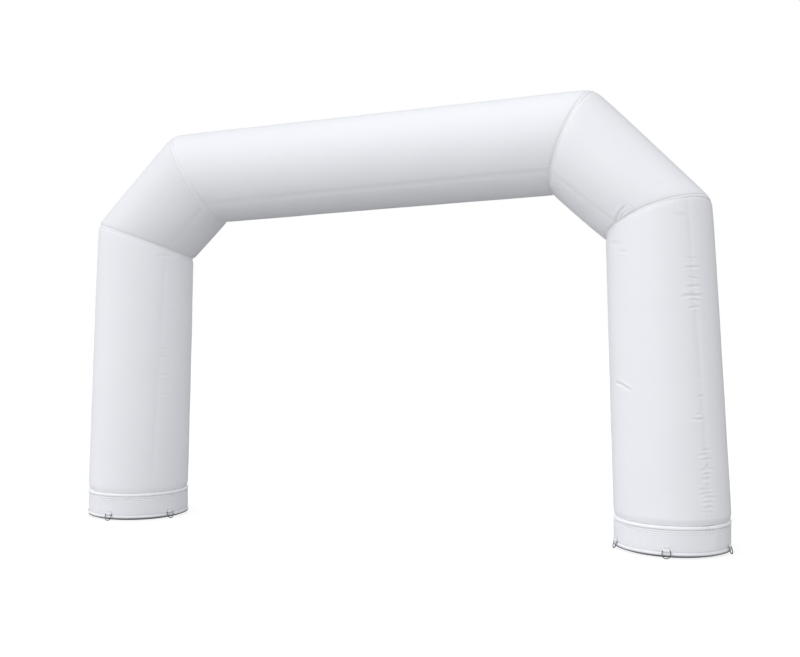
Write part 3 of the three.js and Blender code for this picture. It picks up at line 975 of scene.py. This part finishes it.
def strap_section(columns=14):
    """Across and outwards: a flat loop with rounded edges."""
    across = TAB_HALF_WIDTH * np.sin(np.linspace(-math.pi / 2, math.pi / 2, columns))
    depth = TAB_THICKNESS / 2 * np.sqrt(np.clip(1 - (np.abs(across) / TAB_HALF_WIDTH) ** 24, 0.12, 1))
    return np.vstack([np.column_stack([across, depth]), np.column_stack([across, -depth])[::-1]])


def foot_place(joint, azimuth, across, outwards, height):
    side = np.array([math.cos(math.radians(azimuth)), math.sin(math.radians(azimuth)), 0.0])
    middle = np.array([joint["at"][0], joint["at"][1], 0.0])
    return (middle + np.asarray(across)[..., None] * side
            + np.asarray(outwards)[..., None] * bearing(azimuth)
            + np.asarray(height)[..., None] * UP)


def tab_rows(joint, azimuth):
    path, section = tab_path(), strap_section()
    tangent = unit(np.gradient(path, axis=0))
    normal = np.column_stack([tangent[:, 1], -tangent[:, 0]])
    outwards = path[:, :1] + normal[:, :1] * section[None, :, 1]
    height = path[:, 1:] + normal[:, 1:] * section[None, :, 1]
    across = np.broadcast_to(section[None, :, 0], outwards.shape)
    on_wall = np.clip((height - 0.066) / 0.012, 0, 1)
    outwards = outwards - on_wall * across ** 2 / (2 * BAND_WALL)
    return foot_place(joint, azimuth, across, outwards, height)


for side, joint in FEET.items():
    for i, azimuth in enumerate(RING_AZIMUTHS[side]):
        tab = grid_piece(f"{side}_webbing_tab_{i + 1}", tab_rows(joint, azimuth), WEBBING,
                         (0.085, 2 * TAB_HALF_WIDTH + 0.05))
        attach(tab, "root")
        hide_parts(f"{side}_tab_{i + 1}")

# %% [markdown]
# ## Geometry Nodes that follow a path
# Rings and thread are the same idea: something carried along a line. A mesh of bare edges
# holds the line, and a node tree built here turns it into a curve. One tree sweeps a round
# wire along it, the other sets small stitches at an even pitch. The tree's result is copied
# into a plain mesh, so no modifier is left.

# %% Path trees


def new_tree(name, inputs):
    tree = bpy.data.node_groups.new(name, "GeometryNodeTree")
    tree.interface.new_socket("Path", in_out="INPUT", socket_type="NodeSocketGeometry")
    for label, kind in inputs:
        tree.interface.new_socket(label, in_out="INPUT", socket_type=kind)
    tree.interface.new_socket("Geometry", in_out="OUTPUT", socket_type="NodeSocketGeometry")
    enter = tree.nodes.new("NodeGroupInput")
    leave = tree.nodes.new("NodeGroupOutput")
    curve = tree.nodes.new("GeometryNodeMeshToCurve")
    tree.links.new(enter.outputs["Path"], curve.inputs[0])
    return tree, enter, leave, curve


def finish_tree(tree, enter, leave, result):
    """Ends a tree: real geometry, smooth faces, one material."""
    real = tree.nodes.new("GeometryNodeRealizeInstances")
    shade = tree.nodes.new("GeometryNodeSetShadeSmooth")
    finish = tree.nodes.new("GeometryNodeSetMaterial")
    tree.links.new(result, real.inputs[0])
    tree.links.new(real.outputs[0], shade.inputs["Geometry"])
    tree.links.new(shade.outputs[0], finish.inputs["Geometry"])
    tree.links.new(enter.outputs["Material"], finish.inputs["Material"])
    tree.links.new(finish.outputs[0], leave.inputs["Geometry"])
    return tree


def wire_tree():
    tree, enter, leave, curve = new_tree("bent_wire", [
        ("Wire Radius", "NodeSocketFloat"), ("Sides", "NodeSocketInt"),
        ("Material", "NodeSocketMaterial")])
    circle = tree.nodes.new("GeometryNodeCurvePrimitiveCircle")
    sweep = tree.nodes.new("GeometryNodeCurveToMesh")
    tree.links.new(enter.outputs["Wire Radius"], circle.inputs["Radius"])
    tree.links.new(enter.outputs["Sides"], circle.inputs["Resolution"])
    tree.links.new(curve.outputs[0], sweep.inputs["Curve"])
    tree.links.new(circle.outputs["Curve"], sweep.inputs["Profile Curve"])
    return finish_tree(tree, enter, leave, sweep.outputs[0])


def stitch_tree():
    tree, enter, leave, curve = new_tree("row_of_stitches", [
        ("Pitch", "NodeSocketFloat"), ("Stitch Length", "NodeSocketFloat"),
        ("Thread Radius", "NodeSocketFloat"), ("Seed", "NodeSocketInt"),
        ("Material", "NodeSocketMaterial")])
    spread = tree.nodes.new("GeometryNodeCurveToPoints")
    spread.mode = "LENGTH"
    bead = tree.nodes.new("GeometryNodeMeshIcoSphere")
    bead.inputs["Subdivisions"].default_value = 1
    half = tree.nodes.new("ShaderNodeMath")
    half.operation = "MULTIPLY"
    half.inputs[1].default_value = 0.5
    size = tree.nodes.new("ShaderNodeCombineXYZ")
    shape = tree.nodes.new("GeometryNodeTransform")
    vary = tree.nodes.new("FunctionNodeRandomValue")
    vary.data_type = "FLOAT_VECTOR"
    vary.inputs[0].default_value = (0.85, 0.85, 0.85)
    vary.inputs[1].default_value = (1.1, 1.1, 1.08)
    place = tree.nodes.new("GeometryNodeInstanceOnPoints")
    tree.links.new(curve.outputs[0], spread.inputs["Curve"])
    tree.links.new(enter.outputs["Pitch"], spread.inputs["Length"])
    tree.links.new(enter.outputs["Stitch Length"], half.inputs[0])
    tree.links.new(enter.outputs["Thread Radius"], size.inputs["X"])
    tree.links.new(enter.outputs["Thread Radius"], size.inputs["Y"])
    tree.links.new(half.outputs[0], size.inputs["Z"])
    tree.links.new(bead.outputs["Mesh"], shape.inputs["Geometry"])
    tree.links.new(size.outputs[0], shape.inputs["Scale"])
    tree.links.new(enter.outputs["Seed"], vary.inputs["Seed"])
    tree.links.new(spread.outputs["Points"], place.inputs["Points"])
    tree.links.new(shape.outputs[0], place.inputs["Instance"])
    tree.links.new(spread.outputs["Rotation"], place.inputs["Rotation"])
    tree.links.new(vary.outputs[0], place.inputs["Scale"])
    return finish_tree(tree, enter, leave, place.outputs[0])


def path_object(name, paths):
    """A mesh of bare edges. paths: a list of (points, closed)."""
    points, edges = [], []
    for path, closed in paths:
        start = len(points)
        points += [tuple(point) for point in path]
        edges += [(start + i, start + i + 1) for i in range(len(path) - 1)]
        if closed:
            edges.append((start + len(path) - 1, start))
    mesh = bpy.data.meshes.new(name)
    mesh.from_pydata(points, edges, [])
    source = bpy.data.objects.new(name, mesh)
    bpy.context.scene.collection.objects.link(source)
    return source


def made_by(tree, name, paths, values):
    """Runs a tree over paths and keeps the result as a plain mesh."""
    source = path_object(f"{name}_path", paths)
    maker = source.modifiers.new("maker", "NODES")
    maker.node_group = tree
    for item in tree.interface.items_tree:
        if item.item_type == "SOCKET" and item.in_out == "INPUT" and item.name in values:
            maker[item.identifier] = values[item.name]
    bpy.context.view_layer.update()
    graph = bpy.context.evaluated_depsgraph_get()
    mesh = bpy.data.meshes.new_from_object(source.evaluated_get(graph))
    mesh.name = name
    source.modifiers.remove(maker)
    bpy.data.objects.remove(source)
    piece = bpy.data.objects.new(name, mesh)
    bpy.context.scene.collection.objects.link(piece)
    print(name, "faces:", len(mesh.polygons))
    return piece


WIRE_TREE = wire_tree()
STITCH_TREE = stitch_tree()

# %% [markdown]
# ## D-rings
# A D-ring is one bent rod of chromed steel: a straight bar inside the tab, two short sides and
# a round end that lies over the hem. Its centre line is traced once and swept by the wire tree.

# %% D-rings
RING_HALF_WIDTH, RING_STRAIGHT, RING_DROP, RING_CORNER, RING_SWING = 0.0330, 0.024, 0.055, 0.006, 0.020


def ring_outline():
    """The ring's centre line as (across, down)."""
    points = []
    inner = RING_HALF_WIDTH - RING_CORNER
    points += [(x, 0.0) for x in np.linspace(-inner, inner, 7)]
    for turn in np.linspace(-math.pi / 2, 0, 7)[1:]:
        points.append((inner + RING_CORNER * math.cos(turn), RING_CORNER + RING_CORNER * math.sin(turn)))
    points += [(RING_HALF_WIDTH, z) for z in np.linspace(RING_CORNER, RING_STRAIGHT, 4)[1:]]
    for turn in np.linspace(0, math.pi, 33)[1:]:
        points.append((RING_HALF_WIDTH * math.cos(turn),
                       RING_STRAIGHT + (RING_DROP - RING_STRAIGHT) * math.sin(turn)))
    points += [(-RING_HALF_WIDTH, z) for z in np.linspace(RING_STRAIGHT, RING_CORNER, 4)[1:]]
    for turn in np.linspace(0, math.pi / 2, 7)[1:-1]:
        points.append((-inner - RING_CORNER * math.cos(turn), RING_CORNER - RING_CORNER * math.sin(turn)))
    return np.array(points)


for side, joint in FEET.items():
    outline = ring_outline()
    lean = RING_SWING / RING_DROP
    for i, azimuth in enumerate(RING_AZIMUTHS[side]):
        path = foot_place(joint, azimuth, outline[:, 0], BAR_RADIUS + lean * outline[:, 1],
                          BAR_HEIGHT - outline[:, 1])
        ring = made_by(WIRE_TREE, f"{side}_d_ring_{i + 1}", [(path, True)],
                       {"Wire Radius": WIRE_RADIUS, "Sides": 14, "Material": CHROME})
        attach(ring, "root")
        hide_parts(f"{side}_ring_{i + 1}")

# %% [markdown]
# ## Thread
# Every seam is held by rows of short, thick stitches. They are the smallest thing on the arch,
# thousands of the same bead, so each has few faces and one tree places them all along rows
# read off the finished cloth, half sunk in its surface.

# %% Stitch rows
THREAD_LIFT = 0.00025
SEAM_STITCH = {"Pitch": 0.0085, "Stitch Length": 0.0060, "Thread Radius": 0.0006}
TAB_STITCH = {"Pitch": 0.0042, "Stitch Length": 0.0034, "Thread Radius": 0.0005}


def grid_normals(rows):
    """Unit outward directions on a closed grid of points."""
    along = np.gradient(rows, axis=0)
    across = np.roll(rows, -1, axis=1) - np.roll(rows, 1, axis=1)
    normal = unit(np.cross(across, along))
    middle = rows.mean(axis=1, keepdims=True)
    flip = np.sign(np.einsum("ijk,ijk->ij", normal, rows - middle))
    return normal * np.where(flip == 0, 1, flip)[..., None]


def seam_rows(name):
    """Two rows of stitches beside each slanted seam's binding and along each lapped seam."""
    first, last = (JOINTS[TUBE_NAMES.index(name) + i] for i in (0, 1))
    rows = TUBES[name][1]
    lifted = rows + grid_normals(rows) * THREAD_LIFT
    paths = []
    if not first["foot"]:
        paths.append((lifted[STITCHED_ROW], True))
    if not last["foot"]:
        paths.append((lifted[-1 - STITCHED_ROW], True))
    angles = column_angles(name)
    low = len(NECK_PROFILE) - 1 if first["foot"] else STITCHED_ROW
    high = len(rows) - (len(NECK_PROFILE) - 1 if last["foot"] else STITCHED_ROW)
    count = high - low
    start, end = run_end(first, angles), run_end(last, angles)
    axis = unit(last["at"] - first["at"])
    for begin, finish in PANEL_SEAMS[name]:
        for beside in (-0.0042, 0.0042):
            path = []
            for row in range(low, high):
                share = (rows[row] - start) @ axis / ((end - start) @ axis)
                at = np.interp(begin, angles, share)
                angle = begin + (finish - begin) * at + math.degrees(beside / TUBE_RADIUS)
                path.append([np.interp(angle, angles, lifted[row, :, k]) for k in range(3)])
            paths.append((np.array(path), False))
    return paths


for number, name in enumerate(TUBE_NAMES):
    thread = made_by(STITCH_TREE, f"{name}_thread", seam_rows(name),
                     {**SEAM_STITCH, "Seed": 5 + number, "Material": THREAD})
    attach(thread, "root")


def band_stitch_rows(joint, side):
    rows = band_rows(joint, side, 81)
    lifted = rows + grid_normals(rows) * THREAD_LIFT
    heights = np.array([z for _, z in BAND_PROFILE])
    paths = []
    for height in (0.0545, FOLD_HEIGHTS[0] - 0.004, FOLD_HEIGHTS[1] - 0.004):
        upper = int(np.searchsorted(heights, height))
        share = (height - heights[upper - 1]) / (heights[upper] - heights[upper - 1])
        paths.append((lifted[upper - 1] * (1 - share) + lifted[upper] * share, True))
    return paths


def tab_stitch_rows(joint, azimuth):
    """A sewn box with a cross in it on each tab."""
    across, low, high = 0.0205, 0.0775, 0.0945
    corners = [(-across, low), (across, low), (across, high), (-across, high), (-across, low),
               (across, high), (across, low), (-across, high)]
    front = BAND_WALL + CLEARANCE + 0.001 + 0.0021 + TAB_THICKNESS / 2 + 0.0002
    points = []
    for (x0, z0), (x1, z1) in zip(corners[:-1], corners[1:]):
        share = np.linspace(0, 1, 12)[:, None]
        points.append(np.array([[x0, z0]]) * (1 - share) + np.array([[x1, z1]]) * share)
    flat = np.vstack(points)
    return foot_place(joint, azimuth, flat[:, 0], front - flat[:, 0] ** 2 / (2 * BAND_WALL), flat[:, 1])


for side, joint in FEET.items():
    rows = band_stitch_rows(joint, side)
    thread = made_by(STITCH_TREE, f"{side}_foot_thread", rows,
                     {**SEAM_STITCH, "Seed": 21, "Material": THREAD})
    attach(thread, "root")
    rows = [(tab_stitch_rows(joint, azimuth), False) for azimuth in RING_AZIMUTHS[side]]
    thread = made_by(STITCH_TREE, f"{side}_tab_thread", rows,
                     {**TAB_STITCH, "Seed": 22, "Material": THREAD})
    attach(thread, "root")

# %% [markdown]
# ## Studio
# A white object on white needs light that falls off gently. The surroundings give most of it:
# brightest near the horizon on the left and the front, dimmer overhead and to the right. One
# large soft lamp from the front adds a little direction so that seams and folds read. Mirrors
# see only a small share of the surroundings, as they would in a dim room, so chrome keeps its
# dark lines. The floor is plain and pale. The camera sees it glow, so its shadows stay faint,
# and it returns less light to the object than it shows, so undersides stay in soft shade.

# %% Surroundings
AROUND_MIDDLE, AROUND_SLOPE = 1.752, (-0.645, -0.233, -0.711)
MIRRORED_SHARE = 0.08      # of the surroundings' light, for rays that come off a glossy surface
FLOOR_RETURNS, FLOOR_SEEN, FLOOR_MIRRORED, FLOOR_GLOW = 0.44, 0.25, 0.06, 0.80
KEY_PLACE, KEY_AIM, KEY_SIZE, KEY_POWER = (1.0, -6.0, 5.5), (1.5, 0.0, 3.1), 3.0, 25.0


def surroundings():
    world = bpy.data.worlds.new("studio")
    bpy.context.scene.world = world
    world.use_nodes = True
    tree = world.node_tree
    tree.nodes.clear()
    place = add_node(tree, "ShaderNodeTexCoord")
    toward = add_node(tree, "ShaderNodeVectorMath", operation="DOT_PRODUCT")
    toward.inputs[1].default_value = AROUND_SLOPE
    link(tree, place.outputs["Generated"], toward.inputs[0])
    level = add_node(tree, "ShaderNodeMath", {1: AROUND_MIDDLE}, operation="ADD")
    link(tree, toward.outputs["Value"], level.inputs[0])
    rays = add_node(tree, "ShaderNodeLightPath")
    dimmed = remapped(tree, rays.outputs["Is Glossy Ray"], 0.0, 1.0, 1.0, MIRRORED_SHARE)
    strength = add_node(tree, "ShaderNodeMath", operation="MULTIPLY")
    link(tree, level.outputs[0], strength.inputs[0])
    link(tree, dimmed, strength.inputs[1])
    around = add_node(tree, "ShaderNodeBackground")
    link(tree, strength.outputs[0], around.inputs["Strength"])
    seen = add_node(tree, "ShaderNodeBackground", {"Color": (1, 1, 1, 1), "Strength": 1.0})
    mix = add_node(tree, "ShaderNodeMixShader")
    link(tree, rays.outputs["Is Camera Ray"], mix.inputs[0])
    link(tree, around.outputs[0], mix.inputs[1])
    link(tree, seen.outputs[0], mix.inputs[2])
    link(tree, mix.outputs[0], add_node(tree, "ShaderNodeOutputWorld").inputs[0])
    bpy.context.scene.view_settings.view_transform = "Standard"


surroundings()

# %% Lamp and floor


def key_lamp():
    light = bpy.data.lights.new("key", "AREA")
    light.shape = "DISK"
    light.size = KEY_SIZE
    light.energy = KEY_POWER
    lamp = bpy.data.objects.new("key", light)
    lamp.location = KEY_PLACE
    lamp.rotation_euler = (Vector(KEY_AIM) - lamp.location).to_track_quat("-Z", "Y").to_euler()
    bpy.context.scene.collection.objects.link(lamp)


def pale_floor():
    reach = 400.0
    mesh = bpy.data.meshes.new("floor")
    mesh.from_pydata([(-reach, -reach, 0), (reach, -reach, 0), (reach, reach, 0), (-reach, reach, 0)],
                     [], [(0, 1, 2, 3)])
    floor = bpy.data.objects.new("floor", mesh)
    bpy.context.scene.collection.objects.link(floor)
    material, tree, shader = new_material("pale_floor")
    rays = add_node(tree, "ShaderNodeLightPath")
    lighting = mixed_colour(tree, rays.outputs["Is Camera Ray"], (FLOOR_RETURNS,) * 3,
                            (FLOOR_SEEN,) * 3)
    mirrored = add_node(tree, "ShaderNodeMix", {7: (*(FLOOR_MIRRORED,) * 3, 1)}, data_type="RGBA")
    link(tree, rays.outputs["Is Glossy Ray"], mirrored.inputs[0])
    link(tree, lighting, mirrored.inputs[6])
    link(tree, mirrored.outputs[2], shader.inputs["Base Color"])
    glow = remapped(tree, rays.outputs["Is Camera Ray"], 0.0, 1.0, 0.0, FLOOR_GLOW)
    link(tree, glow, shader.inputs["Emission Strength"])
    shader.inputs["Emission Color"].default_value = (1, 1, 1, 1)
    shader.inputs["Roughness"].default_value = 1.0
    shader.inputs["Specular IOR Level"].default_value = 0.0
    mesh.materials.append(material)


key_lamp()
pale_floor()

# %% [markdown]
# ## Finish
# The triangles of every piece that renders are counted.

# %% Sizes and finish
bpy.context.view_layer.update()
triangles = sum(len(p.vertices) - 2 for o in bpy.context.scene.objects
                if o.type == "MESH" and not o.hide_render for p in o.data.polygons)
print("triangles in all:", triangles)
